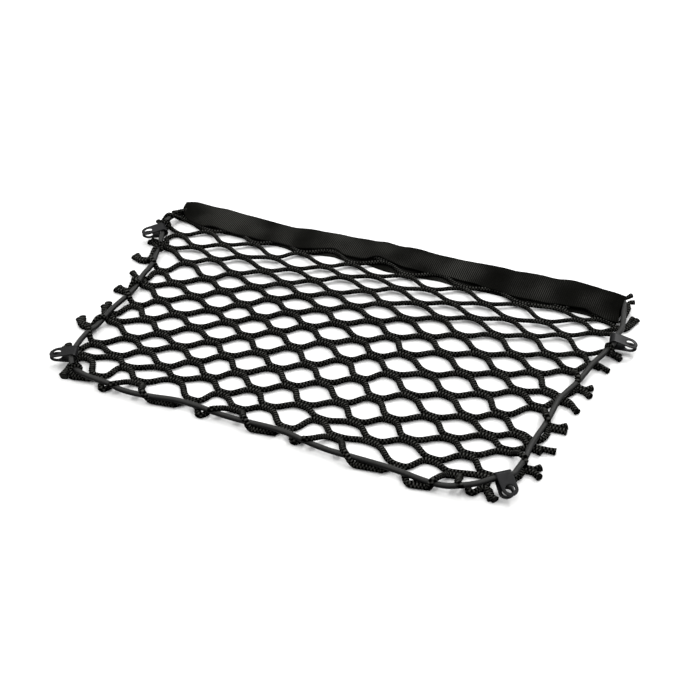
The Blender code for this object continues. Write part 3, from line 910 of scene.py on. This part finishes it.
def add_band(material):
    folds = smooth([Vector(r[:3]) for r in BAND], BAND_BETWEEN)
    edges = smooth([Vector(r[3:]) for r in BAND], BAND_BETWEEN)
    points, faces, uvs, runs = [], [], [], []
    run = 0.0
    for i, ((x, fold_y, lift), (upper_y, rise, lower_y)) in enumerate(zip(folds, edges)):
        fold_y += ripple(x, FOLD_RIPPLE)
        upper_y += ripple(x, *UPPER_RIPPLES)
        section = smooth(band_section(fold_y, lift, upper_y, rise, lower_y), SECTION_FINE)
        section = even(section, SECTION_STEP)
        if i:
            run += math.hypot(x - folds[i - 1].x, fold_y - folds[i - 1].y)
        runs.append(run)
        row = even(section, length(section) / BAND_ACROSS)
        row = (row + [row[-1]])[:BAND_ACROSS + 1]
        for k, p in enumerate(row):
            z = p.z
            if k > BAND_ACROSS * LEAF_FROM:
                high, long, phase = LEAF_RIPPLE
                z += ripple(x, (high, long, k * phase))
            points.append(plan(x + corner_pull(x, k / BAND_ACROSS), p.y, z))
    for i in range(len(folds) - 1):
        for k in range(BAND_ACROSS):
            a, b = i * (BAND_ACROSS + 1) + k, (i + 1) * (BAND_ACROSS + 1) + k
            faces.append((a, b, b + 1, a + 1))
            for r, c in ((i, k), (i + 1, k), (i + 1, k + 1), (i, k + 1)):
                uvs.append((runs[r] / RIB, c * WEBBING_WIDTH / BAND_ACROSS / RIB))
    item = add_object("webbing", new_mesh("webbing", points, faces, uvs), material)
    thicken(item, WEBBING, rounding=0.3, segments=2, sharp=50)
    return item


# ---------------------------------------------------------------- clips -----------
def quarter(side):
    """Length of the bend from its middle to the start of a leaf."""
    return CLIP_BEND * (math.pi / 2 + math.radians(CLIP_CLOSE[side]))


def bent(s, v, dip, splay):
    """The flat strip's point s along and v across, once it is bent round the frame cord."""
    side = 1 if s >= 0 else -1
    lean = math.radians(dip + side * CLIP_CLOSE[side])
    run = abs(s) - quarter(side)
    if side < 0 and run > 0:
        v += run * math.tan(math.radians(splay))
    if run <= 0:
        angle = math.pi - math.radians(dip) - s / CLIP_BEND
        return Vector((CLIP_BEND * math.cos(angle), v, CLIP_BEND * math.sin(angle)))
    x = run * math.cos(lean) + side * CLIP_BEND * math.sin(lean)
    z = -run * math.sin(lean) + side * CLIP_BEND * math.cos(lean)
    return Vector((x, v, z))


def leaf_faces(put, side, bend_edge):
    """One leaf, from the bend's edge: square there, round at its end, with a round eye."""
    half = CLIP_WIDTH / 2
    centre = quarter(side) + CLIP_REACH - half
    rings = []
    for share in EYE_RINGS:
        ring = []
        for k in range(EYE_SIDES):
            c, s = math.cos(2 * math.pi * k / EYE_SIDES), math.sin(2 * math.pi * k / EYE_SIDES)
            reach = half if c > -0.01 else half / max(abs(c), abs(s))
            r = CLIP_EYE + (reach - CLIP_EYE) * share
            ring.append(put(side * (centre + r * c), r * s))
        rings.append(ring)
    faces = []
    for inner, outer in zip(rings, rings[1:]):
        for k in range(EYE_SIDES):
            n = (k + 1) % EYE_SIDES
            face = (inner[k], inner[n], outer[n], outer[k])
            faces.append(face if side > 0 else face[::-1])
    middle, corner = EYE_SIDES // 2, EYE_SIDES // 8
    joint = bend_edge + rings[-1][middle - corner:middle + corner + 1]
    faces.append(joint if side > 0 else joint[::-1])
    return faces


def add_clip(name, x, y, z, heading, dip, splay, material):
    turn_c, turn_s = math.cos(math.radians(heading)), math.sin(math.radians(heading))
    points, faces = [], []

    def put(s, v):
        p = bent(s, v, dip, splay)
        points.append(plan(x + p.x * turn_c - p.y * turn_s, y + p.x * turn_s + p.y * turn_c,
                           z + p.z))
        return len(points) - 1

    rows = []
    for k in range(BEND_STEPS + 1):
        share = 2 * k / BEND_STEPS - 1
        s = quarter(1 if share >= 0 else -1) * share
        rows.append([put(s, CLIP_WIDTH / 2 * (2 * m / BEND_ACROSS - 1))
                     for m in range(BEND_ACROSS + 1)])
    for one, two in zip(rows, rows[1:]):
        for m in range(BEND_ACROSS):
            faces.append((one[m], two[m], two[m + 1], one[m + 1]))
    faces += leaf_faces(put, 1, rows[-1]) + leaf_faces(put, -1, rows[0])
    mesh = new_mesh(name + "_steel", points, faces)
    bm = bmesh.new()
    bm.from_mesh(mesh)
    bmesh.ops.recalc_face_normals(bm, faces=bm.faces)
    bm.to_mesh(mesh)
    bm.free()
    item = add_object(name + "_steel", mesh, material)
    thicken(item, CLIP_STEEL, rounding=0.25, segments=3, sharp=45)
    return item


# ---------------------------------------------------------------- studio, m -------
FLOOR_SIZE = 8
WORLD_RAMP = ((0.15, 0.04), (0.95, 1))  # height on the sky, grey
WORLD_STRENGTH = 2.25
LIGHTS = (
    # name, place, size, watts
    ("back_light", (0.35, 1.15, 1.1), 0.35, 15),
    ("side_light", (-1.1, -0.2, 1.2), 0.5, 6),
)


def add_world():
    world = bpy.data.worlds.new("studio")
    world.use_nodes = True
    tree = world.node_tree
    sky = tree.nodes.new("ShaderNodeTexCoord")
    split = tree.nodes.new("ShaderNodeSeparateXYZ")
    ramp = tree.nodes.new("ShaderNodeValToRGB")
    for element, (position, grey) in zip(ramp.color_ramp.elements, WORLD_RAMP):
        element.position = position
        element.color = (grey, grey, grey, 1)
    tree.links.new(sky.outputs["Generated"], split.inputs[0])
    tree.links.new(split.outputs["Z"], ramp.inputs[0])
    tree.links.new(ramp.outputs[0], tree.nodes["Background"].inputs[0])
    tree.nodes["Background"].inputs[1].default_value = WORLD_STRENGTH
    bpy.context.scene.world = world


def add_studio():
    bpy.ops.mesh.primitive_plane_add(size=FLOOR_SIZE, location=(0, 0, 0))
    floor = bpy.context.object
    floor.name = "floor"
    floor.data.materials.append(floor_material())
    add_world()
    for name, place, size, power in LIGHTS:
        data = bpy.data.lights.new(name, "AREA")
        data.energy = power
        data.size = size
        light = bpy.data.objects.new(name, data)
        light.location = place
        light.rotation_euler = (-Vector(place)).to_track_quat("-Z", "Y").to_euler()
        bpy.context.scene.collection.objects.link(light)
    bpy.context.scene.view_settings.view_transform = "Standard"


# ---------------------------------------------------------------- the object ------
add_camera()
net_cord = net_material()
pads = junctions()
net = add_net(net_cord, pads, "net_near", range(-5, 4))
net_far = add_net(net_cord, pads, "net_far", range(4, 12))
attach(net_far, "root")
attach(net, "root")
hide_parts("net")
front = add_front(net_cord, pads)
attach(front, "root")
cover = add_frame_cord(frame_cord_material())
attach(cover, "root")
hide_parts("frame_cord")
band = add_band(webbing_material())
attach(band, "root")
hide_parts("band")
steel = clip_material()
for clip in CLIPS:
    piece = add_clip(*clip, steel)
    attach(piece, "root")
    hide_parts(clip[0])
add_studio()
